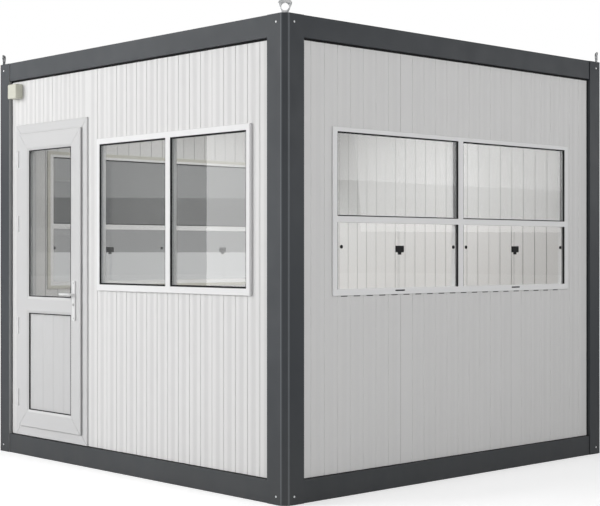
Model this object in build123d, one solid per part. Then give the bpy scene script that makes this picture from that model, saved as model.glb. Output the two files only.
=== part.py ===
from build123d import *
import os

# A steel-framed guard booth clad with ribbed sandwich panels, in millimetres.
# The front wall, with the door, faces -Y. The right wall faces +X. The ground is Z = 0,
# and the origin is the centre of the square frame at ground level.
# Every wall is drawn as the front wall and then turned to its side.

# Frame
SIDE = 2872.0                 # outside length of each side of the frame
HEIGHT = 2600.0               # ground to the top of the roof rails
HALF = SIDE / 2
POST = 140.0                  # width of a corner post on each wall
CHAMFER = 31.0                # leg of the bevel on a post's outer corner
SHEET = 3.0                   # folded steel of posts and rails
BOLT_WELL_R = 9.0             # shallow round wells for the bolts that join posts and rails
BOLT_WELL_DEEP = 1.8
BOLT_FROM_CORNER = 70.0       # from the frame's virtual corner to the middle of a well
BOLT_FROM_END = 44.0
BASE_RAIL = 124.0             # height of the base rails
ROOF_RAIL = 119.0             # height of the roof rails
RAIL_BACK = 5.0               # rails' faces behind the posts' faces
JOINT_LINE = 2.0              # groove where a rail meets a post
LEDGE = 30.0                  # how far the roof rails' lower flange carries the roof panel

# Sandwich panels of the walls
RECESS = 22.0                 # panel face behind the frame's face
PANEL = 40.0                  # panel thickness
MODULE = 1010.0               # width of one whole panel
RIB = MODULE / 10             # spacing of the ribs
SEAL_SIDE = 10.0              # rubber seal between post and panel
SEAL_TOP = 12.0               # rubber seal between roof rail and panel
SEAL_LOW = 5.0                # rubber seal between base rail and panel
SEAL_BACK = 4.0               # seals' face behind the panels' face
PANEL_GAP = 2.0               # gap at a joint of two panels
TONGUE = 8.0                  # length of the tongue that fills that joint
TONGUE_HALF = (7.0, 6.0)      # half its thickness at root and tip
TONGUE_PLAY = 1.5             # room round the tongue in its groove
GROOVE_DEEP = 3.0             # sharp groove between two ribs
GROOVE_HALF = 3.0
DISH_DEEP = 1.5               # shallow dish in the middle of a rib
DISH_HALF = (24.0, 10.0)      # half its width at the face and at its bottom
INNER_GROOVE = 3.0            # groove between two ribs inside the room
INNER_GROOVE_HALF = 3.0

INNER = RECESS + PANEL        # depth of wall, and of the posts' arms
WALL_LOW = BASE_RAIL + SEAL_LOW
WALL_HIGH = HEIGHT - ROOF_RAIL - SEAL_TOP
WALL_END = HALF - POST - SEAL_SIDE
FRONT_JOINTS = [-1210.0, -200.0, 810.0]
SIDE_JOINTS = [-519.0, 491.0]

# Floor and roof
FLOOR_TOP = 140.0
DECK = 21.0
CROSSMEMBERS = 5
CROSSMEMBER_WIDE = 60.0
ROOF_PANEL = 60.0
ROOF_RIB = 34.0               # height of a rib of the roof
ROOF_RIB_HALF = (30.0, 14.0)  # half its width at foot and crest
ROOF_RIB_PITCH = 250.0

# Lifting eyes on the four posts
EYE_HOLE = 20.5               # radius of the hole
EYE_HOLE_UP = 33.0            # height of its centre above the frame
EYE_THICK = 9.0
EYE_BEVEL = 2.5               # bevel of the eye's outer edges
EYE_CORNER = 16.0             # radius of the eye's upper corners
EYE_SPREAD = 21.0             # half the distance between the centres of those corners
EYE_CORNER_UP = 52.0
EYE_FOOT = (32.0, 2.0)        # width and height of its foot on the post
EYE_INSET = 28.5              # from the frame's virtual corner, along X and along Y

# Windows: outer edges along the wall and above ground, as seen from outside
FRONT_WINDOW = (-286.0, 1149.0, 1101.0, 2035.0)
FRONT_WINDOW_PROUD = 17.0
FRONT_MEMBERS = (29.0, 35.0, 38.0)        # visible width of side, top and bottom members
FRONT_MULLION = (405.0, 448.0)
SIDE_WINDOW = (-1068.0, 1068.0, 1098.0, 2022.0)
SIDE_WINDOW_PROUD = 10.0
SIDE_MEMBERS = (34.0, 24.0, 35.0)
SIDE_MULLION = (-21.5, 21.5)
SIDE_TRANSOM = (1501.0, 1535.0)
WINDOW_DEPTH = 54.0
WINDOW_EDGE = 2.0             # bevel of a window frame's outer edge
GLASS = 4.0                   # one sheet of glass
GLAZING = 24.0                # sealed pane of two sheets, joined along their edges
GLAZING_EDGE = 6.0            # width of the joint between the two sheets
GLAZING_BITE = 8.0            # how far a pane reaches into its frame
GLAZING_PLAY = 1.0            # room between a pane's edge and its frame
FRONT_GLASS_AT = -8.0         # depth of the front window's glass from the panels' face
SIDE_GLASS_AT = 1.0
GASKET = 6.0
GASKET_BACK = 3.0             # gasket's edge behind the face of its frame
SLIDING_GLASS = 5.0
SLIDING_GLASS_AT = (3.0, 11.0)            # depth of the outer and the inner sheet
SLIDING_OVERLAP = 30.0
LINING = 22.0                 # inner trim round each window
LINING_THICK = 8.0
LINING_GAP = 0.5

# Lock and finger pulls of the sliding sheets
LOCK_BODY = (60.0, 38.0, 10.0)            # width, height, thickness
LOCK_TAB = (22.0, 13.0, 8.0)
LOCK_UP = 1355.0
PULL_UP = 1367.0
PULL_FROM_MIDDLE = (472.0, 458.0)         # on the outer and on the inner sheet
PULL_R = 10.0
PULL_THICK = 4.0

# Door: all heights above ground
DOOR_FRAME = (-1226.0, -400.0, 129.0, 2179.0)
DOOR_FRAME_WIDE = 68.0
DOOR_FRAME_PROUD = 10.0
DOOR_FRAME_DEPTH = 50.0
DOOR_FRAME_EDGE = 2.5         # bevel of its inner and outer front edges
LEAF = (-1169.0, -454.0, 191.0, 2119.0)
LEAF_PROUD = 24.0             # leaf's face in front of the wall panels
LEAF_FLANGE = 9.0             # overlapping rim of the leaf
LEAF_EDGE = 3.0               # bevel of that rim
LEAF_DEPTH = 66.0
LEAF_BODY_GAP = 12.0          # body of the leaf inside its frame
LEAF_GLASS = (-1056.0, -567.0, 1047.0, 2005.0)
LEAF_PANEL = (-1056.0, -567.0, 305.0, 940.0)
LEAF_INFILL_AT = 14.0         # glass and lower panel behind the leaf's face
DOOR_RIB = 118.0              # spacing of the dishes in the door's lower panel
DOOR_RIBS = 4
DOOR_DISH_HALF = (32.0, 22.0)
DOOR_DISH_DEEP = 2.5
BEAD = 16.0                   # sloping bead round glass and lower panel
BEAD_DEEP = 7.0
MITRE_LINE = 2.0              # width of the grooves at welded corners
MITRE_DEEP = 1.5
MITRE_SHORT = 6.0             # mitre lines stop this much short, both ends together

# Hinges, lever and lock of the door
HINGE_AXIS = (-1179.0, -HALF)
HINGE_HEIGHTS = [377.0, 852.0, 1524.0, 1951.0]
HINGE_TALL = 110.0
HINGE_R = 8.0
HINGE_LUG = 10.0              # width of the lug that carries the lower knuckle
HINGE_GAP = 1.0               # between the two knuckles
HINGE_CAP = 7.0               # solid end of the upper knuckle
HINGE_PIN_R = 3.0
HINGE_PIN_PLAY = 0.1
LEVER_AXIS = (-518.0, 1071.0)
LEVER_LONG = 112.0
LEVER_OUT = 38.0              # centre line of the lever in front of the frame's face
LEVER_IN = 40.0               # the same behind the leaf's back
LEVER_R = 8.0
LEVER_BEND = 14.0             # radius of the bend from neck to grip
LEVER_PLAY = 1.0
PLATE = (30.0, 252.0, 8.0)    # width, height and thickness of a handle plate
PLATE_ROUND = 9.0
PLATE_MIDDLE = 1032.5
LOCK_UP_DOOR = 1007.0
LOCK_R = 8.5
LOCK_STAND = 2.0              # how far the lock stands out of its plates
LOCK_PLAY = 0.5

# Electrical box at the upper left of the front wall
JUNCTION_BOX = (-1264.0, -1163.0, 2356.0, 2451.0)
JUNCTION_BOX_DEPTH = 52.0
JUNCTION_BOX_ROUND = 8.0
JUNCTION_BOX_EDGE = 3.0

CORNERS = ["front_right", "back_right", "back_left", "front_left"]
SIDES = ["front", "right", "back", "left"]


def block(x0, x1, y0, y1, z0, z1):
    """A box between opposite corners."""
    return Pos((x0 + x1) / 2, (y0 + y1) / 2, (z0 + z1) / 2) * Box(x1 - x0, y1 - y0, z1 - z0)


def depth(v):
    """The Y of a depth v inwards from the front wall's panels."""
    return -HALF + RECESS + v


def on_wall(u0, u1, z0, z1, v0, v1):
    """A box on the front wall: u along it, z up, v inwards from the panels' face."""
    return block(u0, u1, depth(v0), depth(v1), z0, z1)


def wall_plane(v, u=0.0, z=0.0):
    """A plane on the front wall at depth v that faces outwards, with its Y axis up."""
    return Plane((u, depth(v), z), x_dir=(1, 0, 0), z_dir=(0, -1, 0))


def disc(u, z, v0, v1, radius):
    """A round bar square to the front wall, between two depths."""
    return extrude(wall_plane(v1, u, z) * Circle(radius), v1 - v0)


def turned(shape, quarter):
    """The shape carried round the booth by quarter turns: 0 front, 1 right, 2 back, 3 left."""
    return Rot(0, 0, 90 * quarter) * shape


def grown(window, by):
    """A rectangle (u0, u1, z0, z1) made larger on every side."""
    u0, u1, z0, z1 = window
    return (u0 - by, u1 + by, z0 - by, z1 + by)


def ring(outer, inner, v0, v1):
    """A rectangular frame between two depths."""
    return on_wall(*outer, v0, v1) - on_wall(*inner, v0, v1)


def frustum(front, back, v0, v1):
    """A tapering block between a rectangle at depth v0 and one at depth v1."""
    faces = []
    for (u0, u1, z0, z1), v in ((front, v0), (back, v1)):
        plane = wall_plane(v, (u0 + u1) / 2, (z0 + z1) / 2)
        faces.append(plane * Rectangle(u1 - u0, z1 - z0))
    return loft(faces)


def outline(points):
    return make_face(Polyline(*points, close=True))


def parts_of(shapes):
    """One node of several solids that don't touch."""
    solids = []
    for shape in shapes:
        solids.extend(shape.solids())
    return Compound(children=solids)


# Frame of posts and rails

def corner_post():
    """Closed post of folded sheet, L-shaped, with a bevelled corner, at the front right."""
    def section(inset):
        arm = POST - inset
        deep = INNER - inset
        bevel = CHAMFER + inset * (2 ** 0.5 - 1)
        points = [
            (bevel, inset),
            (arm, inset),
            (arm, deep),
            (deep, deep),
            (deep, arm),
            (inset, arm),
            (inset, bevel),
        ]
        return outline([(HALF - a, -HALF + b) for a, b in points])
    post = extrude(section(0.0), HEIGHT)
    post -= Pos(0, 0, SHEET) * extrude(section(SHEET), HEIGHT - 2 * SHEET)
    for z in (BOLT_FROM_END, HEIGHT - BOLT_FROM_END):
        well = Rot(90, 0, 0) * Cylinder(BOLT_WELL_R, 2 * BOLT_WELL_DEEP)
        post -= Pos(HALF - BOLT_FROM_CORNER, -HALF, z) * well
        well = Rot(0, 90, 0) * Cylinder(BOLT_WELL_R, 2 * BOLT_WELL_DEEP)
        post -= Pos(HALF, -HALF + BOLT_FROM_CORNER, z) * well
    return post


def rail(z0, z1, upper_deep, lower_deep):
    """Folded C-section between two posts along the front, its web outside."""
    end = HALF - POST
    face = -HALF + RAIL_BACK
    beam = block(-end, end, face, face + SHEET, z0, z1)
    beam += block(-end, end, face, -HALF + upper_deep, z1 - SHEET, z1)
    beam += block(-end, end, face, -HALF + lower_deep, z0, z0 + SHEET)
    for u0, u1 in ((-end, -end + JOINT_LINE), (end - JOINT_LINE, end)):
        beam -= block(u0, u1, face, face + SHEET / 2, z0, z1)
    return beam


def lifting_eye():
    """Pear-shaped plate across the front right corner, with a round hole."""
    wide, tall = EYE_FOOT
    shapes = [Pos(side * EYE_SPREAD, EYE_CORNER_UP) * Circle(EYE_CORNER) for side in (-1, 1)]
    shapes.append(Pos(0, tall / 2) * Rectangle(wide, tall))
    edges = [edge for shape in shapes for edge in shape.edges()]
    plate = extrude(make_face(make_hull(edges)), EYE_THICK / 2, both=True)
    plate = chamfer(plate.edges().filter_by(Plane.XY), EYE_BEVEL)
    plate -= Pos(0, EYE_HOLE_UP) * Cylinder(EYE_HOLE, 2 * EYE_THICK)
    at = HALF - EYE_INSET
    plane = Plane((at, -at, HEIGHT), x_dir=(1, 1, 0), z_dir=(1, -1, 0))
    return plane.location * plate


# Floor and roof

def crossmembers():
    """Steel channels under the deck, from the front base rail to the back one."""
    reach = HALF - INNER
    top = FLOOR_TOP - DECK
    half = CROSSMEMBER_WIDE / 2
    pitch = 2 * (reach - half) / (CROSSMEMBERS - 1)
    channel = block(-half, half, -reach, reach, 0, top)
    channel -= block(-half + SHEET, half, -reach, reach, SHEET, top - SHEET)
    first = -pitch * (CROSSMEMBERS - 1) / 2
    return parts_of([Pos(first + i * pitch, 0, 0) * channel for i in range(CROSSMEMBERS)])


def floor_deck():
    reach = HALF - INNER
    return block(-reach, reach, -reach, reach, FLOOR_TOP - DECK, FLOOR_TOP)


def roof_panel():
    """Insulated roof panel on the rails' ledge, with raised ribs from front to back."""
    reach = HALF - INNER
    low = HEIGHT - ROOF_RAIL + SHEET
    flat = low + ROOF_PANEL
    crest = flat + ROOF_RIB
    foot_half, crest_half = ROOF_RIB_HALF
    points = [(-reach, low), (-reach, flat)]
    count = int(2 * reach // ROOF_RIB_PITCH)
    for i in range(count):
        middle = (i - (count - 1) / 2) * ROOF_RIB_PITCH
        points += [(middle - foot_half, flat), (middle - crest_half, crest)]
        points += [(middle + crest_half, crest), (middle + foot_half, flat)]
    points += [(reach, flat), (reach, low)]
    section = Plane((0, reach, 0), x_dir=(1, 0, 0), z_dir=(0, -1, 0)) * outline(points)
    return extrude(section, 2 * reach)


# Ribbed wall panels

def rib_lines(u0, u1, first, half):
    """Places of the ribs' grooves that fall inside a panel."""
    start = int((u0 - first) // RIB) - 1
    lines = [first + i * RIB for i in range(start, start + int((u1 - u0) / RIB) + 4)]
    return [u for u in lines if u0 + half < u < u1 - half]


def panel(u0, u1, z0, z1, first, tongue=False, groove=False):
    """One sandwich panel on the front wall, with ribs counted from the joint at first.

    A tongue stands out of its right edge, and a groove in its left edge takes one.
    """
    start = u0 + (PANEL_GAP / 2 if groove else 0)
    end = u1 - (PANEL_GAP / 2 if tongue else 0)
    points = [(start, 0)]
    for line in rib_lines(start, end, first, RIB / 2 + GROOVE_HALF):
        points += [(line - GROOVE_HALF, 0), (line, GROOVE_DEEP), (line + GROOVE_HALF, 0)]
        dish = line + RIB / 2
        if dish + RIB / 4 < end:
            wide, narrow = DISH_HALF
            points += [(dish - wide, 0), (dish - narrow, DISH_DEEP)]
            points += [(dish + narrow, DISH_DEEP), (dish + wide, 0)]
    points.append((end, 0))
    middle = PANEL / 2
    root, tip = TONGUE_HALF
    if tongue:
        points += [(end, middle - root), (end + TONGUE, middle - tip)]
        points += [(end + TONGUE, middle + tip), (end, middle + root)]
    points.append((end, PANEL))
    for line in reversed(rib_lines(start, end, first, INNER_GROOVE_HALF)):
        points += [(line + INNER_GROOVE_HALF, PANEL), (line, PANEL - INNER_GROOVE)]
        points.append((line - INNER_GROOVE_HALF, PANEL))
    points.append((start, PANEL))
    if groove:
        root += TONGUE_PLAY
        tip += TONGUE_PLAY
        bottom = start + TONGUE + TONGUE_PLAY
        points += [(start, middle + root), (bottom, middle + tip)]
        points += [(bottom, middle - tip), (start, middle - root)]
    section = outline([(u, depth(v)) for u, v in points])
    return Pos(0, 0, z0) * extrude(section, z1 - z0)


def row_of_panels(edges, z0, first):
    """Panels side by side between the given edges, joined by tongues."""
    last = len(edges) - 2
    return [panel(edges[i], edges[i + 1], z0, WALL_HIGH, first, tongue=i < last, groove=i > 0)
            for i in range(last + 1)]


def front_wall():
    """The front wall from the door's frame to the right corner, with its window cut out."""
    edges = [DOOR_FRAME[1], *FRONT_JOINTS[1:], WALL_END]
    hole = on_wall(*grown(FRONT_WINDOW, -GLAZING_BITE), -PANEL, 2 * PANEL)
    return parts_of([piece - hole for piece in row_of_panels(edges, WALL_LOW, FRONT_JOINTS[0])])


def front_wall_over_door():
    edges = [-WALL_END, FRONT_JOINTS[0], DOOR_FRAME[1]]
    return parts_of(row_of_panels(edges, DOOR_FRAME[3], FRONT_JOINTS[0]))


def front_wall_left():
    """The narrow strip between the corner post and the door's frame."""
    return on_wall(-WALL_END, DOOR_FRAME[0], WALL_LOW, DOOR_FRAME[3], 0, PANEL)


def side_wall():
    edges = [-WALL_END, *SIDE_JOINTS, WALL_END]
    hole = on_wall(*grown(SIDE_WINDOW, -GLAZING_BITE), -PANEL, 2 * PANEL)
    return parts_of([piece - hole for piece in row_of_panels(edges, WALL_LOW, SIDE_JOINTS[0])])


def back_wall():
    return parts_of(row_of_panels([-WALL_END, *SIDE_JOINTS, WALL_END], WALL_LOW, SIDE_JOINTS[0]))


def panel_seals():
    """Black rubber between each wall and its posts and rails."""
    end = HALF - POST
    opening = (-end, end, BASE_RAIL, HEIGHT - ROOF_RAIL)
    wall = (-WALL_END, WALL_END, WALL_LOW, WALL_HIGH)
    seal = ring(opening, wall, SEAL_BACK, PANEL)
    return parts_of([turned(seal, quarter) for quarter in range(4)])


# Windows

def window_panes(window, members, mullion, transom=None):
    """Clear openings of a window: side, top and bottom members, mullion and transom."""
    u0, u1, z0, z1 = window
    side, top, bottom = members
    columns = [(u0 + side, mullion[0]), (mullion[1], u1 - side)]
    rows = [(z0 + bottom, z1 - top)]
    if transom:
        rows = [(z0 + bottom, transom[0]), (transom[1], z1 - top)]
    return [[(a, b, low, high) for a, b in columns] for low, high in rows]


FRONT_PANES = window_panes(FRONT_WINDOW, FRONT_MEMBERS, FRONT_MULLION)[0]
SIDE_LOWER_PANES, SIDE_UPPER_PANES = window_panes(SIDE_WINDOW, SIDE_MEMBERS, SIDE_MULLION, SIDE_TRANSOM)


def window_frame(window, proud, panes_at):
    """Welded frame with one opening for each pane, and the groove that holds its edge."""
    back = WINDOW_DEPTH - proud
    flange = on_wall(*window, -proud, 0)
    flange = chamfer(flange.faces().sort_by(Axis.Y)[0].edges(), WINDOW_EDGE)
    frame = flange + on_wall(*grown(window, -GLAZING_BITE), -proud / 2, back)
    for pane, at, thick in panes_at:
        frame -= on_wall(*pane, -proud, back)
        frame -= on_wall(*grown(pane, GLAZING_BITE), at, at + thick)
    return frame


def front_window_frame():
    return window_frame(FRONT_WINDOW, FRONT_WINDOW_PROUD,
                        [(pane, FRONT_GLASS_AT, GLAZING) for pane in FRONT_PANES])


def side_window_frame():
    track = SLIDING_GLASS_AT[1] + SLIDING_GLASS - SLIDING_GLASS_AT[0]
    upper = [(pane, SIDE_GLASS_AT, GLAZING) for pane in SIDE_UPPER_PANES]
    lower = [(pane, SLIDING_GLASS_AT[0], track) for pane in SIDE_LOWER_PANES]
    return window_frame(SIDE_WINDOW, SIDE_WINDOW_PROUD, upper + lower)


def sealed_pane(opening, at):
    """Two sheets with air between them, which reach into their frame on all sides."""
    edge = grown(opening, GLAZING_BITE - GLAZING_PLAY)
    air = on_wall(*grown(edge, -GLAZING_EDGE), at + GLASS, at + GLAZING - GLASS)
    return on_wall(*edge, at, at + GLAZING) - air


def gasket_ring(opening, front, back):
    """Black gasket round a pane, from just behind its frame's face to the glass."""
    return ring(opening, grown(opening, -GASKET), front, back)


def jamb_gaskets(opening, front, back):
    """Black strips at both ends of a pair of sliding sheets."""
    u0, u1, z0, z1 = opening
    left = on_wall(u0, u0 + GASKET, z0, z1, front, back)
    right = on_wall(u1 - GASKET, u1, z0, z1, front, back)
    return [left, right]


def sliding_sheets():
    """Two frameless sheets in each lower opening, on two tracks, overlapping in the middle."""
    sheets = []
    for pane in SIDE_LOWER_PANES:
        u0, u1, z0, z1 = grown(pane, GLAZING_BITE - GLAZING_PLAY)
        middle = (u0 + u1) / 2
        halves = [(middle - SLIDING_OVERLAP / 2, u1), (u0, middle + SLIDING_OVERLAP / 2)]
        for (a, b), at in zip(halves, SLIDING_GLASS_AT):
            sheets.append(on_wall(a, b, z0, z1, at, at + SLIDING_GLASS))
    return sheets


def sliding_latches():
    """A black lock where two sheets overlap, and a finger pull near each outer edge."""
    wide, tall, thick = LOCK_BODY
    tab_wide, tab_tall, tab_thick = LOCK_TAB
    outer, inner = SLIDING_GLASS_AT
    low = LOCK_UP - tall / 2
    pieces = []
    for pane in SIDE_LOWER_PANES:
        middle = (pane[0] + pane[1]) / 2
        lock = on_wall(middle - wide / 2, middle + wide / 2, low, low + tall, outer - thick, outer)
        left, right = middle - tab_wide / 2, middle + tab_wide / 2
        lock += on_wall(left, right, low - tab_tall, low, outer - tab_thick, outer)
        pieces.append(lock)
        for u, at in ((middle + PULL_FROM_MIDDLE[0], outer), (middle - PULL_FROM_MIDDLE[1], inner)):
            pieces.append(disc(u, PULL_UP, at - PULL_THICK, at, PULL_R))
    return pieces


def lining(window):
    """Four boards of inner trim round a window."""
    u0, u1, z0, z1 = grown(window, -GLAZING_BITE)
    a0, a1, c0, c1 = grown((u0, u1, z0, z1), LINING)
    back = PANEL + LINING_THICK
    return [
        on_wall(a0, u0, c0, c1, PANEL, back),
        on_wall(u1, a1, c0, c1, PANEL, back),
        on_wall(u0 + LINING_GAP, u1 - LINING_GAP, z1, c1, PANEL, back),
        on_wall(u0 + LINING_GAP, u1 - LINING_GAP, c0, z0, PANEL, back),
    ]


# Door

def mitred(frame, outer, inner, v):
    """Fine grooves in a frame's face where its members are welded at 45 degrees."""
    u0, u1, z0, z1 = outer
    i0, i1, j0, j1 = inner
    corners = [((u0, z0), (i0, j0)), ((u1, z0), (i1, j0)), ((u1, z1), (i1, j1)), ((u0, z1), (i0, j1))]
    for (a, b), (c, d) in corners:
        long = ((c - a) ** 2 + (d - b) ** 2) ** 0.5
        cutter = Box(long - MITRE_SHORT, 2 * MITRE_DEEP, MITRE_LINE)
        middle = ((a + c) / 2, depth(v), (b + d) / 2)
        plane = Plane(middle, x_dir=(c - a, 0, d - b), z_dir=(b - d, 0, c - a))
        frame -= plane.location * cutter
    return frame


def door_frame():
    inner = grown(DOOR_FRAME, -DOOR_FRAME_WIDE)
    front = -DOOR_FRAME_PROUD
    frame = ring(DOOR_FRAME, inner, front, front + DOOR_FRAME_DEPTH)
    frame = chamfer(frame.faces().sort_by(Axis.Y)[0].edges(), DOOR_FRAME_EDGE)
    return mitred(frame, DOOR_FRAME, inner, front)


def door_leaf():
    """Leaf with an overlapping rim, a glazed opening above a panelled one, and beads round both."""
    front = -LEAF_PROUD
    back = front + LEAF_DEPTH
    infill = front + LEAF_INFILL_AT
    body = grown(DOOR_FRAME, -DOOR_FRAME_WIDE - LEAF_BODY_GAP)
    leaf = on_wall(*LEAF, front, front + LEAF_FLANGE)
    leaf = chamfer(leaf.faces().sort_by(Axis.Y)[0].edges(), LEAF_EDGE)
    leaf += on_wall(*body, front + LEAF_FLANGE, back)
    openings = (*LEAF_GLASS[:2], LEAF_PANEL[2], LEAF_GLASS[3])
    leaf = mitred(leaf, LEAF, grown(openings, BEAD), front)
    for hole in (LEAF_GLASS, LEAF_PANEL):
        leaf -= frustum(grown(hole, BEAD), hole, front, front + BEAD_DEEP)
        leaf -= on_wall(*hole, front, back)
        leaf -= on_wall(*grown(hole, GLAZING_BITE), infill, infill + GLAZING)
    u, up = LEVER_AXIS
    leaf -= disc(u, up, front, back, LEVER_R + 2 * LEVER_PLAY)
    return leaf - disc(u, LOCK_UP_DOOR, front, back, LOCK_R + LOCK_PLAY)


def door_lower_panel():
    """Infill of the lower opening, with shallow upright dishes in its face."""
    u0, u1, z0, z1 = grown(LEAF_PANEL, GLAZING_BITE - GLAZING_PLAY)
    front = -LEAF_PROUD + LEAF_INFILL_AT
    back = front + GLAZING
    middle = (u0 + u1) / 2
    wide, narrow = DOOR_DISH_HALF
    points = [(u0, back), (u0, front)]
    for i in range(DOOR_RIBS):
        u = middle + (i - (DOOR_RIBS - 1) / 2) * DOOR_RIB
        points += [(u - wide, front), (u - narrow, front + DOOR_DISH_DEEP)]
        points += [(u + narrow, front + DOOR_DISH_DEEP), (u + wide, front)]
    points += [(u1, front), (u1, back)]
    section = outline([(u, depth(v)) for u, v in points])
    return Pos(0, 0, z0) * extrude(section, z1 - z0)


def door_gaskets():
    front = -LEAF_PROUD + BEAD_DEEP
    back = -LEAF_PROUD + LEAF_INFILL_AT
    return parts_of([gasket_ring(hole, front, back) for hole in (LEAF_GLASS, LEAF_PANEL)])


def hinge_knuckle(low, high, radius):
    x, y = HINGE_AXIS
    return Pos(x, y, (low + high) / 2) * Cylinder(radius, high - low)


def door_hinges_frame():
    """Lower knuckle of each hinge, its pin and the lug that holds it to the frame."""
    x, y = HINGE_AXIS
    face = depth(-DOOR_FRAME_PROUD)
    pieces = []
    for z in HINGE_HEIGHTS:
        low, high = z - HINGE_TALL / 2, z - HINGE_GAP
        knuckle = hinge_knuckle(low, high, HINGE_R)
        knuckle += hinge_knuckle(low, z + HINGE_TALL / 2 - HINGE_CAP - HINGE_GAP, HINGE_PIN_R)
        knuckle += block(x - HINGE_LUG / 2, x + HINGE_LUG / 2, y, face, low, high)
        pieces.append(knuckle)
    return parts_of(pieces)


def door_hinges_leaf():
    """Upper knuckle of each hinge, with the lug that holds it to the leaf's rim."""
    x = HINGE_AXIS[0]
    front = depth(-LEAF_PROUD) + LEAF_EDGE
    back = depth(-LEAF_PROUD) + LEAF_FLANGE
    pieces = []
    for z in HINGE_HEIGHTS:
        high = z + HINGE_TALL / 2
        knuckle = hinge_knuckle(z, high, HINGE_R)
        knuckle += block(x, LEAF[0], front, back, z, high)
        knuckle -= hinge_knuckle(z, high - HINGE_CAP, HINGE_PIN_R + HINGE_PIN_PLAY)
        pieces.append(knuckle)
    return parts_of(pieces)


def handle_plate(v0, v1):
    """Long rounded plate with holes for the lever's neck and the lock."""
    wide, tall, _ = PLATE
    u, up = LEVER_AXIS
    edges = (u - wide / 2, u + wide / 2, PLATE_MIDDLE - tall / 2, PLATE_MIDDLE + tall / 2)
    plate = on_wall(*edges, v0, v1)
    plate = fillet(plate.edges().filter_by(Axis.Y), PLATE_ROUND)
    plate -= disc(u, up, v0, v1, LEVER_R + LEVER_PLAY)
    return plate - disc(u, LOCK_UP_DOOR, v0, v1, LOCK_R + LOCK_PLAY)


def door_handle_plates():
    front = -LEAF_PROUD
    back = front + LEAF_DEPTH
    thick = PLATE[2]
    return parts_of([handle_plate(front - thick, front), handle_plate(back, back + thick)])


def door_lock_cylinder():
    """Lock cylinder that passes through the plates and the leaf."""
    stand = PLATE[2] + LOCK_STAND
    front = -LEAF_PROUD - stand
    back = -LEAF_PROUD + LEAF_DEPTH + stand
    return disc(LEVER_AXIS[0], LOCK_UP_DOOR, front, back, LOCK_R)


def lever_grip(v, bend):
    """One handle: the bend from its neck, and the grip that points to the hinges.

    The grip's centre line is at depth v, and the neck leaves it by a distance bend inwards,
    or outwards where bend is negative.
    """
    u, up = LEVER_AXIS
    elbow_end = u - abs(bend)
    circle = Plane((elbow_end, depth(v), up), x_dir=(0, 1, 0), z_dir=(-1, 0, 0)) * Circle(LEVER_R)
    grip = extrude(circle, LEVER_LONG - abs(bend))
    pivot = Axis((elbow_end, depth(v + bend), up), (0, 0, 1 if bend > 0 else -1))
    return grip + revolve(circle, pivot, 90)


def door_lever():
    """Lever handles outside and inside, on one spindle."""
    u, up = LEVER_AXIS
    outside = -RECESS - LEVER_OUT
    inside = -LEAF_PROUD + LEAF_DEPTH + LEVER_IN
    neck = disc(u, up, outside + LEVER_BEND, inside - LEVER_BEND, LEVER_R)
    return neck + lever_grip(outside, LEVER_BEND) + lever_grip(inside, -LEVER_BEND)


# Electrical box

def junction_box():
    box = on_wall(*JUNCTION_BOX, -JUNCTION_BOX_DEPTH, 0)
    box = fillet(box.edges().filter_by(Axis.Y), JUNCTION_BOX_ROUND)
    return chamfer(box.faces().sort_by(Axis.Y)[0].edges(), JUNCTION_BOX_EDGE)


def write(name, shape):
    export_step(shape, os.path.join("parts", name + ".step"))


def write_frame():
    post = corner_post()
    base_rail = rail(0, BASE_RAIL, INNER, INNER)
    roof_rail = rail(HEIGHT - ROOF_RAIL, HEIGHT, INNER, INNER + LEDGE)
    for quarter in range(4):
        write("corner_post_" + CORNERS[quarter], turned(post, quarter))
        write("base_rail_" + SIDES[quarter], turned(base_rail, quarter))
        write("roof_rail_" + SIDES[quarter], turned(roof_rail, quarter))
    eye = lifting_eye()
    write("lifting_eyes", parts_of([turned(eye, quarter) for quarter in range(4)]))
    write("base_crossmembers", crossmembers())
    write("floor_deck", floor_deck())
    write("roof_panel", roof_panel())


def write_walls():
    write("front_wall", front_wall())
    write("front_wall_over_door", front_wall_over_door())
    write("front_wall_left", front_wall_left())
    wall = side_wall()
    write("right_wall", turned(wall, 1))
    write("left_wall", turned(wall, 3))
    write("back_wall", turned(back_wall(), 2))
    write("panel_seals", panel_seals())
    write("junction_box", junction_box())


def write_windows():
    front_glass = [sealed_pane(pane, FRONT_GLASS_AT) for pane in FRONT_PANES]
    write("front_window_frame", front_window_frame())
    write("front_window_glass", parts_of(front_glass))
    face = GASKET_BACK - FRONT_WINDOW_PROUD
    gaskets = [gasket_ring(pane, face, FRONT_GLASS_AT) for pane in FRONT_PANES]
    latches = []
    linings = lining(FRONT_WINDOW)

    frame = side_window_frame()
    fixed = parts_of([sealed_pane(pane, SIDE_GLASS_AT) for pane in SIDE_UPPER_PANES])
    sliding = parts_of(sliding_sheets())
    face = GASKET_BACK - SIDE_WINDOW_PROUD
    side_gaskets = [gasket_ring(pane, face, SIDE_GLASS_AT) for pane in SIDE_UPPER_PANES]
    for pane in SIDE_LOWER_PANES:
        side_gaskets += jamb_gaskets(pane, face, SLIDING_GLASS_AT[0])
    for quarter in (1, 3):
        side = SIDES[quarter]
        write(side + "_window_frame", turned(frame, quarter))
        write(side + "_window_glass", turned(fixed, quarter))
        write(side + "_sliding_glass", turned(sliding, quarter))
        gaskets += [turned(strip, quarter) for strip in side_gaskets]
        latches += [turned(piece, quarter) for piece in sliding_latches()]
        linings += [turned(board, quarter) for board in lining(SIDE_WINDOW)]
    write("window_gaskets", parts_of(gaskets))
    write("sliding_window_latches", parts_of(latches))
    write("window_linings", parts_of(linings))


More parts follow.
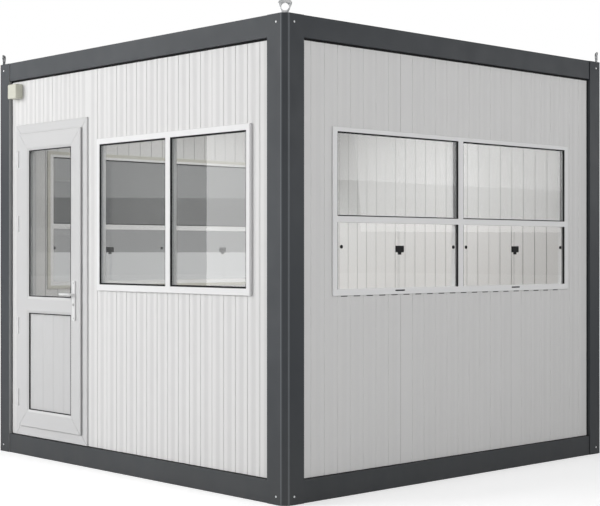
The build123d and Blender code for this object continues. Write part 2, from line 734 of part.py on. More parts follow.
def write_door():
    write("door_frame", door_frame())
    write("door_leaf", door_leaf())
    write("door_glass", sealed_pane(LEAF_GLASS, -LEAF_PROUD + LEAF_INFILL_AT))
    write("door_lower_panel", door_lower_panel())
    write("door_gaskets", door_gaskets())
    write("door_hinges_frame", door_hinges_frame())
    write("door_hinges_leaf", door_hinges_leaf())
    write("door_handle_plates", door_handle_plates())
    write("door_lock_cylinder", door_lock_cylinder())
    write("door_lever", door_lever())


def build():
    os.makedirs("parts", exist_ok=True)
    write_frame()
    write_walls()
    write_windows()
    write_door()


build()
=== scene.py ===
import math

import bpy
from mathutils import Matrix, Vector


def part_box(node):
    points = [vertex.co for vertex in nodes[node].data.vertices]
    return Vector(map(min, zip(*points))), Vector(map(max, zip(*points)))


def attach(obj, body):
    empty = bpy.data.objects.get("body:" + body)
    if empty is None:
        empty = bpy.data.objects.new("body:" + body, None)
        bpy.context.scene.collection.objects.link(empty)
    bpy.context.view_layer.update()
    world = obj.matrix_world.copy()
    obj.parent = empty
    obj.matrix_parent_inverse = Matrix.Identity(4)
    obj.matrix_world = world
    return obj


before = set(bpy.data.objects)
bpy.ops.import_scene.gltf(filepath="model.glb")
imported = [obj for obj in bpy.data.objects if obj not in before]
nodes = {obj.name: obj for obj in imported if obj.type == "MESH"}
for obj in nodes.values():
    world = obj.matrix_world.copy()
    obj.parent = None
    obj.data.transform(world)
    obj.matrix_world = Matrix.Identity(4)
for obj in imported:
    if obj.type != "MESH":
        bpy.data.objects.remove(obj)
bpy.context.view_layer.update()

# The looks of a steel-framed guard booth: node materials for every part, small fittings,
# a white studio and the camera. Lengths are metres in the frame of the CAD model.

# Sizes of the booth that the materials and fittings follow
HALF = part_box("corner_post_front_right")[1].x        # half the booth's width
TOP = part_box("corner_post_front_right")[1].z         # top of its frame
CORNER_BEVEL = 0.031                                 # leg of the bevel on the posts' outer corners
PANEL_FACE = -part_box("front_wall")[0].y              # outer face of the wall panels
PANEL_THICK = 0.040
DISH_DEEP = 0.0015                                   # dishes in the panels' outer faces
RIB = 0.101                                          # spacing of the panels' ribs
FRONT_RIB_AT = -1.210                                # the line of a rib on the front wall
SIDE_RIB_AT = -0.519                                 # the line of a rib on the side walls
SIDE_WINDOW_FOOT = 1.098                             # lower edge of the side windows' frames
PANE_BITE = 0.007                                    # how far a sealed pane reaches into its frame
QUARTERS = {"front": 0, "right": 1, "back": 2, "left": 3}

# Painted shade, painted highlights, painted light and dirt that depend on the place
INNER_GROOVE_PAINTED_SHADE = 0.4                                    # painted shade in the grooves of the panels' faces inside the room
EDGE_HIGHLIGHT_REACH = 0.006                                    # reach of the painted highlights along a post's bevel edges
# colour of those painted highlights
EDGE_HIGHLIGHT_GREY = (0.125, 0.135, 0.145)
RETURN_LIGHT_GREY = (0.34, 0.345, 0.35)                      # painted light on the posts' sides beside the front wall, for light reflected from the white wall
RETURN_LIGHT_FROM_CORNER = 0.1                               # the painted light is further than this from a corner
# dirt and painted shade, darker towards the ground
DIRT_AND_SHADE_GREY = (0.16, 0.15, 0.13, 1.0)
DIRT_AND_SHADE_HIGH = 0.6                                      # height that the dirt and painted shade from the ground reach

# Glass
GLASS_INDEX = 1.5
SHEET_INDEX = 1.55                                   # one face of a sheet shines like its two
GLASS_WAVE = 0.0002                                  # depth of the waves in its surface

# Studio
WHITE = (1.0, 1.0, 1.0, 1.0)
BLACK = (0.0, 0.0, 0.0, 1.0)
AMBIENT = (0.38, 0.38, 0.385, 1.0)                   # level of the soft light from all round
DIM = (0.12, 0.12, 0.12, 1.0)                        # what gloss sees beside the reflectors
BAND_SPAN = 0.2                                      # sine of the elevation that the bands reach
BANDS_THROUGH_GLASS = [(0.0, 0.59), (0.5, 0.35), (0.542, 0.20), (0.5975, 0.33)]
FLOOR_HALF = 60.0
FLOOR_GREY = (0.72, 0.72, 0.72)
FLOOR_NEAR, FLOOR_FAR = 3.5, 12.0                    # distances between which its glow grows
GLOW_NEAR, GLOW_FAR = 0.5, 0.75
LAMPS = [                                            # name, place, target, width, height, power
    ("key", (-8.5, -13.5, 6.0), (0, -1.4, 1.2), 9.0, 7.0, 1730),
    ("fill", (11.0, -1.5, 5.0), (1.4, 0, 1.2), 6.0, 5.0, 330),
    ("room_ceiling", (0.0, 0.0, 2.42), (0, 0, 0), 1.8, 1.8, 30),
    ("room_left", (0.9, -0.5, 2.3), (-1.4, 0.1, 1.9), 0.8, 0.4, 7),
]
REFLECTORS = [                                       # name, strength, corners
    ("reflector_right", 1.8,
     [(6.5, 4.38, 1.56), (6.5, 9.5, 1.6), (6.5, 9.5, 3.6), (6.5, 4.15, 3.6)]),
    ("reflector_right_high", 2.0,
     [(6.5, 2.6, 2.11), (6.5, 9.5, 2.11), (6.5, 9.5, 3.6), (6.5, 2.6, 3.6)]),
    ("reflector_front", 3.6,
     [(-6.06, -7.0, -0.3), (-3.4, -7.0, -0.3), (-3.4, -7.0, 3.4), (-6.06, -7.0, 3.4)]),
    ("reflector_front_high", 2.2,
     [(-16.0, -7.0, 3.7), (-3.4, -7.0, 3.7), (-3.4, -7.0, 9.0), (-16.0, -7.0, 9.0)]),
    ("reflector_behind", 1.2,
     [(8.0, -12.0, -0.3), (12.0, -8.0, -0.3), (12.0, -8.0, 5.0), (8.0, -12.0, 5.0)]),
]
CAMERA_AT = (6.788, -6.335, 1.336)
CAMERA_TURN = 46.896                                 # degrees to the left of +Y
CAMERA_LENS = 82.93                                  # millimetres, as is the sensor's width
CAMERA_SENSOR = 36.0
CAMERA_SHIFT = -0.00107
CAMERA_REACH = 200.0


# Shader nodes

def add(tree, kind, inputs=None, **settings):
    """One shader node, with its inputs linked or set and its settings made."""
    new = tree.nodes.new("ShaderNode" + kind)
    for name, value in settings.items():
        setattr(new, name, value)
    for name, value in (inputs or {}).items():
        if isinstance(value, bpy.types.NodeSocket):
            tree.links.new(value, new.inputs[name])
        else:
            new.inputs[name].default_value = value
    return new


def calculated(tree, operation, first, second=None, **settings):
    """The result of a Math node."""
    inputs = {0: first} if second is None else {0: first, 1: second}
    return add(tree, "Math", inputs, operation=operation, **settings).outputs["Value"]


def mapped(tree, value, low, high, to_low=0.0, to_high=1.0, **settings):
    """A value carried from the range low to high into another."""
    return add(tree, "MapRange", {"Value": value, "From Min": low, "From Max": high,
                                  "To Min": to_low, "To Max": to_high}, **settings).outputs["Result"]


def blended(tree, share, color, other):
    """A colour with a share of another in it."""
    return add(tree, "Mix", {"Factor": share, "A": color, "B": other}, data_type="RGBA").outputs[2]


def mixed_shaders(tree, share, shader, other):
    return add(tree, "MixShader", {0: share, 1: shader, 2: other}).outputs["Shader"]


def split(tree, vector):
    """The X, Y and Z of a vector."""
    return add(tree, "SeparateXYZ", {"Vector": vector}).outputs


def ramp(tree, factor, stops, interpolation="LINEAR"):
    """A colour ramp of (place, grey or colour) stops."""
    new = add(tree, "ValToRGB", {"Fac": factor})
    new.color_ramp.interpolation = interpolation
    elements = new.color_ramp.elements
    while len(elements) < len(stops):
        elements.new(0.5)
    for element, (place, value) in zip(elements, stops):
        element.position = place
        element.color = (*value, 1.0) if isinstance(value, tuple) else (value, value, value, 1.0)
    return new.outputs["Color"]


def noise(tree, where, scale, detail=2.0, roughness=0.5):
    """Values of a noise texture, round 0.5."""
    return add(tree, "TexNoise", {"Vector": where, "Scale": scale, "Detail": detail,
                                  "Roughness": roughness}).outputs["Fac"]


def scaled(tree, where, x, y, z):
    return add(tree, "Mapping", {"Vector": where, "Scale": (x, y, z)}).outputs["Vector"]


def bumped(tree, height, distance, strength=1.0):
    return add(tree, "Bump", {"Height": height, "Distance": distance,
                              "Strength": strength}).outputs["Normal"]


def new_material(name):
    """A material without nodes, its tree, and the place on the object."""
    made = bpy.data.materials.new(name)
    made.use_nodes = True
    tree = made.node_tree
    tree.nodes.clear()
    where = add(tree, "TexCoord").outputs["Object"]
    return made, tree, where


def finished(tree, shader):
    tree.links.new(shader, add(tree, "OutputMaterial").inputs["Surface"])


def shades(tree, where, color, spread, scale):
    """A colour that varies softly over the surface by the share spread."""
    low = tuple(channel * (1 - spread) for channel in color)
    high = tuple(min(1.0, channel * (1 + spread)) for channel in color)
    return ramp(tree, noise(tree, where, scale, 4.0, 0.6), [(0.3, low), (0.7, high)])


def roughened(tree, where, level, spread, scale):
    """Roughness that varies by spread on each side of level."""
    return mapped(tree, noise(tree, where, scale, 3.0), 0.3, 0.7, level - spread, level + spread)


# Painted shade, painted highlights and painted light that depend on the place, and dirt

def painted_groove_shade(tree, where, base, share, front_rib=None):
    """The base colour with painted shade in the dishes and grooves of a panel's outer and inner face.

    With the line of a rib on the front wall, every rib there gets the same painted shade, also the ribs
    without a dish.
    """
    place = split(tree, where)
    far_x = calculated(tree, "ABSOLUTE", place["X"])
    far_y = calculated(tree, "ABSOLUTE", place["Y"])
    outwards = calculated(tree, "MAXIMUM", far_x, far_y)
    deep = mapped(tree, outwards, PANEL_FACE, PANEL_FACE - PANEL_THICK)
    dish = DISH_DEEP / PANEL_THICK
    # Painted shade by the depth from the outer face: in the outer dishes and in the inner grooves
    dark = ramp(tree, deep, [(0.0, 0.0), (dish, share), (3 * dish, share), (4 * dish, 0.0),
                             (0.90, 0.0), (0.93, INNER_GROOVE_PAINTED_SHADE), (0.97, INNER_GROOVE_PAINTED_SHADE), (0.995, 0.0)])
    # Painted shade in the middle of each front rib, as in a dish, also where the rib has no dish
    if front_rib is not None:
        along = mapped(tree, place["X"], front_rib, front_rib + RIB, clamp=False)
        phase = calculated(tree, "FRACT", along)
        in_rib = ramp(tree, phase, [(0.26, 0.0), (0.40, share), (0.60, share), (0.74, 0.0)])
        on_front = calculated(tree, "LESS_THAN", place["Y"], PANEL_THICK / 2 - PANEL_FACE)
        front_rib_painted_shade = calculated(tree, "MULTIPLY", in_rib, on_front)
        dark = calculated(tree, "MAXIMUM", dark, front_rib_painted_shade)
    return blended(tree, dark, base, BLACK)


def painted_edge_highlights(tree, where, base, color):
    """The base colour, with a soft painted highlight along each edge of the posts' bevelled corners."""
    place = split(tree, where)
    far_x = calculated(tree, "ABSOLUTE", place["X"])
    far_y = calculated(tree, "ABSOLUTE", place["Y"])
    nearer = calculated(tree, "MINIMUM", far_x, far_y)
    edge = HALF - CORNER_BEVEL
    across = mapped(tree, nearer, edge - EDGE_HIGHLIGHT_REACH, edge + EDGE_HIGHLIGHT_REACH)
    share = ramp(tree, across, [(0.0, 0.0), (0.4, 1.0), (0.6, 1.0), (1.0, 0.0)])
    return blended(tree, share, base, (*color, 1.0))


def painted_return_light(tree, where, base, color):
    """The base colour, and a pale painted light on the posts' sides beside the front wall, for light
    that the white wall reflects onto them.
    """
    place = split(tree, where)
    facing = split(tree, add(tree, "NewGeometry").outputs["True Normal"])["X"]
    sideways = calculated(tree, "GREATER_THAN", calculated(tree, "ABSOLUTE", facing), 0.9)
    far_x = calculated(tree, "ABSOLUTE", place["X"])
    inside = calculated(tree, "LESS_THAN", far_x, HALF - RETURN_LIGHT_FROM_CORNER)
    in_front = calculated(tree, "LESS_THAN", place["Y"], -PANEL_FACE)
    share = calculated(tree, "MULTIPLY", sideways, inside)
    share = calculated(tree, "MULTIPLY", share, in_front)
    return blended(tree, share, base, (*color, 1.0))


def dirty_and_shaded(tree, where, base, level):
    """The base colour, with dirt and painted shade that thin out upwards from the share level, darker
    towards the ground.
    """
    ragged = noise(tree, scaled(tree, where, 1, 1, 0.3), 9.0, 5.0, 0.65)
    share = mapped(tree, split(tree, where)["Z"], 0.0, DIRT_AND_SHADE_HIGH, level, 0.0)
    share = calculated(tree, "MULTIPLY", share, ragged)
    return blended(tree, share, base, DIRT_AND_SHADE_GREY)


# Materials

def coated(name, color, roughness, spread=0.03, patch=1.3, peel=500.0, peel_deep=0.00002,
           uneven=0.03, specular=0.5, metallic=0.0, dirt_and_shade=0.0, painted_dish_shade=0.0, front_rib=None,
           frame_painted_light=False):
    """Paint or moulded plastic: soft colour shifts, uneven gloss and an orange-peel surface."""
    made, tree, where = new_material(name)
    base = shades(tree, where, color, spread, patch)
    # Painted shade in the panels' dishes and grooves
    if painted_dish_shade:
        base = painted_groove_shade(tree, where, base, painted_dish_shade, front_rib)
    # Painted highlights along the posts' bevel edges, and painted light on the posts' sides beside the
    # front wall
    if frame_painted_light:
        base = painted_edge_highlights(tree, where, base, EDGE_HIGHLIGHT_GREY)
        base = painted_return_light(tree, where, base, RETURN_LIGHT_GREY)
    # Dirt and painted shade, darker towards the ground
    if dirt_and_shade:
        base = dirty_and_shaded(tree, where, base, dirt_and_shade)
    shader = add(tree, "BsdfPrincipled", {
        "Base Color": base,
        "Roughness": roughened(tree, where, roughness, uneven, 7.0),
        "Metallic": metallic,
        "Specular IOR Level": specular,
        "Normal": bumped(tree, noise(tree, where, peel), peel_deep),
    })
    finished(tree, shader.outputs["BSDF"])
    return made


def spangled(name, dark, light, scale):
    """Hot-dip galvanised steel: zinc crystals of different brightness."""
    made, tree, where = new_material(name)
    wobble = add(tree, "TexNoise", {"Vector": where, "Scale": scale, "Detail": 2.0}).outputs["Color"]
    shift = add(tree, "VectorMath", {0: wobble, "Scale": 0.4 / scale}, operation="SCALE")
    warped = add(tree, "VectorMath", {0: where, 1: shift.outputs["Vector"]}, operation="ADD")
    cells = add(tree, "TexVoronoi", {"Vector": warped.outputs["Vector"], "Scale": scale}, feature="F1")
    value = add(tree, "SeparateColor", {"Color": cells.outputs["Color"]}).outputs["Red"]
    glint = tuple(min(1, channel * 1.25) for channel in light)
    shader = add(tree, "BsdfPrincipled", {
        "Base Color": ramp(tree, value, [(0.0, dark), (0.55, light), (1.0, glint)]),
        "Roughness": mapped(tree, value, 0.0, 1.0, 0.28, 0.5),
        "Metallic": 0.85,
        "Normal": bumped(tree, value, 0.0003, 0.6),
    })
    finished(tree, shader.outputs["BSDF"])
    return made


def drawn_glass(tree, where):
    """The faint upright waves of a glass surface."""
    return bumped(tree, noise(tree, scaled(tree, where, 1.0, 1.0, 0.35), 1.6, 1.0), GLASS_WAVE)


def clear_glass(name, tint):
    """Float glass, which lets lamps and soft light through to what is behind it."""
    made, tree, where = new_material(name)
    glass = add(tree, "BsdfPrincipled", {
        "Base Color": shades(tree, where, tint, 0.01, 0.8),
        "Roughness": 0.0,
        "IOR": GLASS_INDEX,
        "Transmission Weight": 1.0,
        "Normal": drawn_glass(tree, where),
    })
    through = add(tree, "BsdfTransparent", {"Color": (*tint, 1.0)})
    path = add(tree, "LightPath").outputs
    soft = calculated(tree, "MAXIMUM", path["Is Shadow Ray"], path["Is Diffuse Ray"])
    finished(tree, mixed_shaders(tree, soft, glass.outputs["BSDF"], through.outputs["BSDF"]))
    return made


def sheet_glass(name, tint):
    """A frameless sheet, seen straight through, with its gloss on the outer of its two faces."""
    made, tree, where = new_material(name)
    normal = drawn_glass(tree, where)
    gloss = add(tree, "BsdfGlossy", {"Roughness": 0.0, "Normal": normal})
    geometry = add(tree, "NewGeometry").outputs
    across = calculated(tree, "ABSOLUTE", split(tree, geometry["True Normal"])["X"])
    flat = calculated(tree, "GREATER_THAN", across, 0.5)
    outer = calculated(tree, "SUBTRACT", flat, geometry["Backfacing"], use_clamp=True)
    color = blended(tree, outer, WHITE, shades(tree, where, tint, 0.01, 0.8))
    through = add(tree, "BsdfTransparent", {"Color": color})
    fresnel = add(tree, "Fresnel", {"IOR": SHEET_INDEX, "Normal": normal}).outputs["Fac"]
    share = calculated(tree, "MULTIPLY", outer, fresnel)
    finished(tree, mixed_shaders(tree, share, through.outputs["BSDF"], gloss.outputs["BSDF"]))
    return made


def boards(name, color, dark):
    """Sealed plywood: grain lines along the board and soft blotches."""
    made, tree, where = new_material(name)
    grain = noise(tree, scaled(tree, where, 60.0, 3.0, 60.0), 2.0, 6.0, 0.6)
    shader = add(tree, "BsdfPrincipled", {
        "Base Color": ramp(tree, grain, [(0.3, dark), (0.7, color)]),
        "Roughness": roughened(tree, where, 0.5, 0.08, 5.0),
        "Normal": bumped(tree, grain, 0.0002, 0.5),
    })
    finished(tree, shader.outputs["BSDF"])
    return made


def make_materials():
    """One material for each finish. Panels and plastic profiles have a few shades of white; the side
    walls' panels have a darker copy of the front's coating, as a painted shade.
    """
    return {
        # Frame paint with painted highlights on its bevel edges, painted light beside the front wall,
        # and dirt and painted shade towards the ground
        "frame": coated("frame_powder_coat", (0.042, 0.047, 0.053), 0.45, spread=0.08, peel=350.0,
                        peel_deep=0.00004, uneven=0.05, specular=0.45, dirt_and_shade=0.2, frame_painted_light=True),
        # Front and back walls' panels, with painted shade in their dishes and in the middle of every
        # front rib
        "panel": coated("panel_coil_coating", (0.77, 0.766, 0.76), 0.45, spread=0.012, peel=260.0,
                        specular=0.15, dirt_and_shade=0.05, painted_dish_shade=0.1, front_rib=FRONT_RIB_AT),
        # The same coating for the side walls: a darker copy as a painted shade, with less painted shade
        # in its dishes
        "side_panel": coated("panel_coating_shaded_side_copy", (0.715, 0.711, 0.704), 0.45, spread=0.012,
                             peel=260.0, specular=0.3, dirt_and_shade=0.05, painted_dish_shade=0.02),
        "window_pvc": coated("window_profile_white", (0.83, 0.83, 0.83), 0.5, spread=0.01, specular=0.3),
        "door_pvc": coated("door_profile_white", (0.62, 0.62, 0.62), 0.35, spread=0.01),
        "door_infill": coated("door_panel_white", (0.585, 0.585, 0.585), 0.4, spread=0.015),
        "rubber": coated("seal_epdm", (0.016, 0.016, 0.017), 0.75, spread=0.25, patch=30.0, peel=900.0,
                         peel_deep=0.00005, specular=0.3),
        "black": coated("latch_black_plastic", (0.010, 0.010, 0.011), 0.6, spread=0.15, patch=20.0,
                        specular=0.3),
        "cream": coated("box_cream_plastic", (0.60, 0.60, 0.51), 0.4, spread=0.02, patch=12.0,
                        peel=700.0, peel_deep=0.00003),
        "beige": coated("window_trim_beige", (0.60, 0.59, 0.52), 0.5, spread=0.03, patch=8.0),
        "enamel": coated("handle_white_enamel", (0.78, 0.78, 0.78), 0.28, spread=0.01, patch=20.0),
        "roof": coated("roof_sheet_coating", (0.45, 0.46, 0.47), 0.5, spread=0.06, patch=2.0,
                       uneven=0.08),
        "nickel": coated("lock_satin_nickel", (0.50, 0.50, 0.50), 0.3, spread=0.06, patch=60.0,
                         peel=1500.0, metallic=1.0),
        "bolt": coated("bolt_bright_zinc", (0.92, 0.93, 0.94), 0.35, spread=0.02, patch=80.0,
                       peel=1500.0, metallic=0.2),
        "zinc": spangled("galvanised_spangle", (0.30, 0.31, 0.32), (0.85, 0.86, 0.87), 80.0),
        "channel": spangled("galvanised_channel", (0.30, 0.31, 0.32), (0.58, 0.59, 0.60), 40.0),
        "glass": clear_glass("float_glass", (0.93, 0.936, 0.936)),
        "sheet": sheet_glass("sliding_glass", (0.96, 0.963, 0.963)),
        "floor": boards("deck_plywood", (0.34, 0.27, 0.19), (0.22, 0.17, 0.12)),
    }


looks = make_materials()

# The tables' keys are the starts of node names; the longest that fits counts
NODE_LOOKS = {
    "corner_post": "frame", "base_rail": "frame", "roof_rail": "frame", "lifting_eyes": "zinc",
    "base_crossmembers": "channel", "floor_deck": "floor", "roof_panel": "roof",
    "front_wall": "panel", "back_wall": "panel", "right_wall": "side_panel", "left_wall": "side_panel",
    "panel_seals": "rubber", "front_window_frame": "window_pvc", "right_window_frame": "window_pvc",
    "left_window_frame": "window_pvc", "window_gaskets": "rubber", "sliding_window_latches": "black",
    "window_linings": "beige", "door_frame": "door_pvc", "door_leaf": "door_pvc",
    "door_lower_panel": "door_infill", "door_gaskets": "rubber", "door_hinges": "enamel",
    "door_handle_plates": "enamel", "door_lock_cylinder": "nickel", "door_lever": "enamel",
    "junction_box": "cream", "door_glass": "glass", "front_window_glass": "glass",
    "right_window_glass": "glass", "left_window_glass": "glass", "right_sliding_glass": "sheet",
    "left_sliding_glass": "sheet",
}
SOFT_EDGES = {                                       # width of the rounded edges
    "corner_post": 0.0015, "base_rail": 0.0015, "roof_rail": 0.0015,
    "front_window_frame": 0.0015, "right_window_frame": 0.0015, "left_window_frame": 0.0015,
    "door_frame": 0.0012, "door_leaf": 0.0012, "door_handle_plates": 0.0012,
    "lifting_eyes": 0.0012, "window_linings": 0.002, "sliding_window_latches": 0.001,
}
SOFT_EDGE_SEGMENTS = 2
SHARP_FROM = math.radians(35)                        # edges that turn less stay as they are


def look_of(name, table):
    """The entry of the longest key that the node's name starts with."""
    keys = [key for key in table if name.startswith(key)]
    return table[max(keys, key=len)] if keys else None


def dress_nodes():
    """Gives every CAD node its material, and soft edges where light catches them."""
    for name, obj in nodes.items():
        obj.data.materials.clear()
        obj.data.materials.append(looks[look_of(name, NODE_LOOKS)])
        width = look_of(name, SOFT_EDGES)
        if width:
            bevel = obj.modifiers.new("soft_edges", "BEVEL")
            bevel.width = width
            bevel.segments = SOFT_EDGE_SEGMENTS
            bevel.limit_method = "ANGLE"
            bevel.angle_limit = SHARP_FROM
            bevel.harden_normals = True


dress_nodes()


# Shapes of the small fittings

def on_wall(side, u, z, outwards):
    """Where a fitting goes on a wall: its local Z looks out of the wall and its local Y up."""
    turn = Matrix.Rotation(math.radians(90 * QUARTERS[side]), 4, "Z")
    place = Matrix.Translation((u, -outwards, z))
    return turn @ place @ Matrix.Rotation(math.radians(90), 4, "X")


def mesh_object(name, vertices, faces, material):
    mesh = bpy.data.meshes.new(name)
    mesh.from_pydata(vertices, [], faces)
    mesh.update()
    mesh.materials.append(material)
    made = bpy.data.objects.new(name, mesh)
    bpy.context.scene.collection.objects.link(made)
    return made


def joined(name, shape, places, look, body, smooth=False):
    """One piece made of the same shape at every place; smooth rounds its four-sided faces."""
    placed(name, [(shape, place) for place in places], look, body, smooth)


def placed(name, shapes, look, body, smooth=False):
    """One piece made of several shapes, each with its place."""
    vertices = []
    faces = []
    for (points, sides), place in shapes:
        start = len(vertices)
        vertices += [place @ point for point in points]
        faces += [tuple(start + i for i in side) for side in sides]
    piece = mesh_object(name, vertices, faces, looks[look])
    for polygon in piece.data.polygons:
        polygon.use_smooth = smooth and len(polygon.vertices) == 4
    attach(piece, body)


def turned_mesh(profile, segments):
    """Points and faces of a closed profile of (radius, height) turned round Z."""
    points = []
    faces = []
    for radius, height in profile:
        for i in range(segments):
            angle = 2 * math.pi * i / segments
            points.append(Vector((radius * math.cos(angle), radius * math.sin(angle), height)))
    for row in range(len(profile) - 1):
        a = row * segments
        b = a + segments
        for i in range(segments):
            j = (i + 1) % segments
            faces.append((a + i, a + j, b + j, b + i))
    faces.append(tuple(reversed(range(segments))))
    faces.append(tuple(range(len(points) - segments, len(points))))
    return points, faces


def stadium(long, tall, deep, segments=10):
    """Points and faces of a flat shape with round ends, as thick as deep, its back at zero."""
    outline = []
    radius = tall / 2
    for side in (1, -1):
        for i in range(segments + 1):
            angle = math.pi * (i / segments - 0.5)
            x = long / 2 - radius + math.cos(angle) * radius
            outline.append((side * x, side * math.sin(angle) * radius))
    count = len(outline)
    points = [Vector((x, y, 0)) for x, y in outline] + [Vector((x, y, deep)) for x, y in outline]
    faces = [tuple(reversed(range(count))), tuple(range(count, 2 * count))]
    faces += [(i, (i + 1) % count, count + (i + 1) % count, count + i) for i in range(count)]
    return points, faces


def flat_ring(x0, x1, y0, y1, wide, deep):
    """Points and faces of a rectangular ring whose face is at zero and whose back is at -deep."""
    points = []
    for inset in (0, wide):
        for z in (0, -deep):
            for x, y in ((x0 + inset, y0 + inset), (x1 - inset, y0 + inset),
                         (x1 - inset, y1 - inset), (x0 + inset, y1 - inset)):
                points.append(Vector((x, y, z)))
    front, back, inner_front, inner_back = 0, 4, 8, 12
    faces = []
    for i in range(4):
        j = (i + 1) % 4
        for a, b in ((front, inner_front), (inner_front, inner_back), (inner_back, back), (back, front)):
            faces.append((a + i, a + j, b + j, b + i))
    return points, faces


# Small fittings; a profile's heights are from the surface that the fitting sits in

BOLT_FROM_CORNER = 0.070
BOLT_FROM_END = 0.044
BOLT_SEGMENTS = 24
WASHER_PROFILE = [(0.0089, -0.0018), (0.0089, -0.0012), (0.0084, -0.0008),
                  (0.0066, -0.0008), (0.0062, -0.0012)]
BOLT_PROFILE = [(0.0060, -0.0018), (0.0060, -0.0005), (0.0054, -0.0001),
                (0.0020, -0.0001), (0.0017, -0.0006)]


def post_bolts():
    """A bolt in a dark washer near both ends of both faces of every post."""
    places = []
    for side in QUARTERS:
        for u in (BOLT_FROM_CORNER - HALF, HALF - BOLT_FROM_CORNER):
            for z in (BOLT_FROM_END, TOP - BOLT_FROM_END):
                places.append(on_wall(side, u, z, HALF))
    washer = turned_mesh(WASHER_PROFILE, BOLT_SEGMENTS)
    bolt = turned_mesh(BOLT_PROFILE, BOLT_SEGMENTS)
    joined("post_bolt_washers", washer, places, "black", "booth", smooth=True)
    joined("post_bolts", bolt, places, "bolt", "booth", smooth=True)


SCREW_PROFILE = [(0.0042, -0.001), (0.0042, 0.0002), (0.0034, 0.0010),
                 (0.0015, 0.0013), (0.0012, 0.0004)]
SCREW_FROM_END = 0.016
SCREW_SEGMENTS = 20


def plate_screws():
    """Two screws in each long handle plate, outside and in the room."""
    low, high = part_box("door_handle_plates")
    u = (low.x + high.x) / 2
    places = []
    for z in (low.z + SCREW_FROM_END, high.z - SCREW_FROM_END):
        places.append(on_wall("front", u, z, -low.y))
        places.append(on_wall("back", -u, z, high.y))
    screw = turned_mesh(SCREW_PROFILE, SCREW_SEGMENTS)
    joined("handle_plate_screws", screw, places, "nickel", "door", smooth=True)


SLOT_LONG = 0.080
SLOT_TALL = 0.008
SLOT_DEEP = 0.0005
SLOT_SUNK = 0.0002
SLOT_UP = 1.120
SLOT_AT = (-0.532, 0.524)


def weep_slots():
    """Drain slots in the lower members of the side windows."""
    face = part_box("right_window_frame")[1].x - SLOT_SUNK
    places = [on_wall(side, u, SLOT_UP, face) for side in ("right", "left") for u in SLOT_AT]
    slot = stadium(SLOT_LONG, SLOT_TALL, SLOT_DEEP)
    joined("window_weep_slots", slot, places, "rubber", "booth")


# Black strips that stand for the shadow in the ribs' dishes under the side windows
SHADOW_STRIP_LONG = 0.053
SHADOW_STRIP_TALL = 0.005
SHADOW_STRIP_PROUD = 0.0003


def rib_shadow_strips():
    """Black strips in the dishes of the ribs under each side window's frame, a painted shadow under the
    frame.
    """
    low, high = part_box("right_window_frame")
    up = SIDE_WINDOW_FOOT - SHADOW_STRIP_TALL / 2
    places = []
    count = int((high.y - SIDE_RIB_AT) / RIB)
    for i in range(-count, 2 * count):
        u = SIDE_RIB_AT + (i + 0.5) * RIB
        if low.y + RIB / 2 < u < high.y - RIB / 2:
            places += [on_wall(side, u, up, PANEL_FACE - DISH_DEEP) for side in ("right", "left")]
    strip = stadium(SHADOW_STRIP_LONG, SHADOW_STRIP_TALL, DISH_DEEP + SHADOW_STRIP_PROUD, 2)
    joined("window_rib_shadow_strips", strip, places, "rubber", "booth")


GASKET_WIDE = 0.006
GASKET_DEEP = 0.004
GASKET_GAP = 0.0002
LIP_WIDE = 0.004
LIP_DEEP = 0.003


def pane_rings(side, inset, wide, deep, outer):
    """A ring on the outer or inner face of each of a window's two sealed panes, with its place."""
    to_wall = on_wall(side, 0, 0, 0).inverted()
    points = [to_wall @ vertex.co for vertex in nodes[side + "_window_glass"].data.vertices]
    middle = (min(p.x for p in points) + max(p.x for p in points)) / 2
    if outer:
        face = max(p.z for p in points) + GASKET_GAP + deep
    else:
        face = min(p.z for p in points) - GASKET_GAP
    inset += PANE_BITE + GASKET_GAP
    z0 = min(p.y for p in points) + inset
    z1 = max(p.y for p in points) - inset
    rings = []
    for pane in ([p.x for p in points if p.x < middle], [p.x for p in points if p.x > middle]):
        ring = flat_ring(min(pane) + inset, max(pane) - inset, z0, z1, wide, deep)
        rings.append((ring, on_wall(side, 0, 0, face)))
    return rings


def pane_gaskets():
    """Black gaskets on the room's side of the side windows, and lips on the front window's."""
    inner = pane_rings("right", 0.0, GASKET_WIDE, GASKET_DEEP, outer=False)
    inner += pane_rings("left", 0.0, GASKET_WIDE, GASKET_DEEP, outer=False)
    placed("inner_window_gaskets", inner, "rubber", "booth")
    lips = pane_rings("front", GASKET_WIDE, LIP_WIDE, LIP_DEEP, outer=True)
    placed("front_window_gasket_lips", lips, "rubber", "booth")


post_bolts()
plate_screws()
weep_slots()
rib_shadow_strips()
pane_gaskets()


# Studio

def studio_floor():
    """A pale floor that stays white to the camera, near and far, except in the booth's shadow."""
    made, tree, where = new_material("studio_floor")
    plain = add(tree, "BsdfDiffuse", {"Color": shades(tree, where, FLOOR_GREY, 0.01, 0.5)})
    path = add(tree, "LightPath").outputs
    away = add(tree, "VectorMath", {0: where}, operation="LENGTH").outputs["Value"]
    level = mapped(tree, away, FLOOR_NEAR, FLOOR_FAR, GLOW_NEAR, GLOW_FAR,
                   interpolation_type="SMOOTHSTEP")
    strength = calculated(tree, "MULTIPLY", path["Is Camera Ray"], level)
    glow = add(tree, "Emission", {"Color": WHITE, "Strength": strength})
    both = add(tree, "AddShader", {0: plain.outputs["BSDF"], 1: glow.outputs["Emission"]})
    low_band = add(tree, "Emission", {"Color": WHITE, "Strength": BANDS_THROUGH_GLASS[0][1]})
    finished(tree, mixed_shaders(tree, path["Is Transmission Ray"], both.outputs["Shader"],
                                 low_band.outputs["Emission"]))
    corners = [(-FLOOR_HALF, -FLOOR_HALF, 0), (FLOOR_HALF, -FLOOR_HALF, 0),
               (FLOOR_HALF, FLOOR_HALF, 0), (-FLOOR_HALF, FLOOR_HALF, 0)]
    floor = mesh_object("studio_floor", corners, [(0, 1, 2, 3)], made)


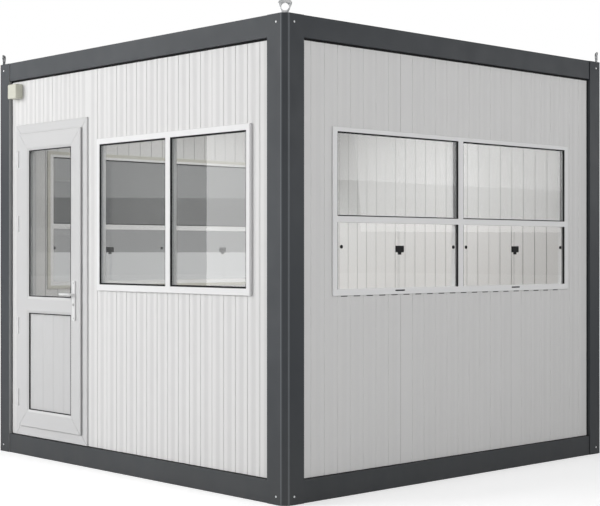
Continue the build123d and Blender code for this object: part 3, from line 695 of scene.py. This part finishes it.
def surroundings():
    """White to the camera, a soft level for lighting, and grey bands for glass and gloss."""
    world = bpy.data.worlds.new("studio")
    world.use_nodes = True
    tree = world.node_tree
    tree.nodes.clear()
    up = split(tree, add(tree, "TexCoord").outputs["Generated"])["Z"]
    bands = ramp(tree, mapped(tree, up, -BAND_SPAN, BAND_SPAN), BANDS_THROUGH_GLASS, "CONSTANT")
    path = add(tree, "LightPath").outputs
    color = blended(tree, path["Is Glossy Ray"], AMBIENT, DIM)
    color = blended(tree, path["Is Transmission Ray"], color, bands)
    color = blended(tree, path["Is Camera Ray"], color, WHITE)
    shown = add(tree, "Background", {"Color": color, "Strength": 1.0})
    tree.links.new(shown.outputs["Background"], add(tree, "OutputWorld").inputs["Surface"])
    bpy.context.scene.world = world


def reflector(name, strength, corners):
    """A lit card that shows only in gloss, on top of what is behind it."""
    made, tree, _ = new_material(name)
    glow = add(tree, "Emission", {"Color": WHITE, "Strength": strength})
    clear = add(tree, "BsdfTransparent")
    both = add(tree, "AddShader", {0: glow.outputs["Emission"], 1: clear.outputs["BSDF"]})
    finished(tree, both.outputs["Shader"])
    card = mesh_object(name, corners, [(0, 1, 2, 3)], made)
    card.visible_camera = False
    card.visible_diffuse = False
    card.visible_transmission = False
    card.visible_shadow = False


def lamp(name, at, towards, wide, tall, power):
    """A soft rectangular lamp that looks at a point, and doesn't show in glass or gloss."""
    data = bpy.data.lights.new(name, "AREA")
    data.shape = "RECTANGLE"
    data.size = wide
    data.size_y = tall
    data.energy = power
    made = bpy.data.objects.new(name, data)
    made.location = at
    made.rotation_euler = (Vector(towards) - Vector(at)).to_track_quat("-Z", "Y").to_euler()
    made.visible_camera = False
    made.visible_glossy = False
    made.visible_transmission = False
    bpy.context.scene.collection.objects.link(made)


def camera():
    """A level camera at the photograph's viewing angle."""
    data = bpy.data.cameras.new("camera")
    data.lens = CAMERA_LENS
    data.sensor_width = CAMERA_SENSOR
    data.shift_y = CAMERA_SHIFT
    data.clip_end = CAMERA_REACH
    made = bpy.data.objects.new("camera", data)
    made.location = CAMERA_AT
    made.rotation_euler = (math.radians(90), 0, math.radians(CAMERA_TURN))
    bpy.context.scene.collection.objects.link(made)
    bpy.context.scene.camera = made


studio_floor()
surroundings()
for settings in LAMPS:
    lamp(*settings)
for settings in REFLECTORS:
    reflector(*settings)
camera()
bpy.context.scene.view_settings.view_transform = "Standard"
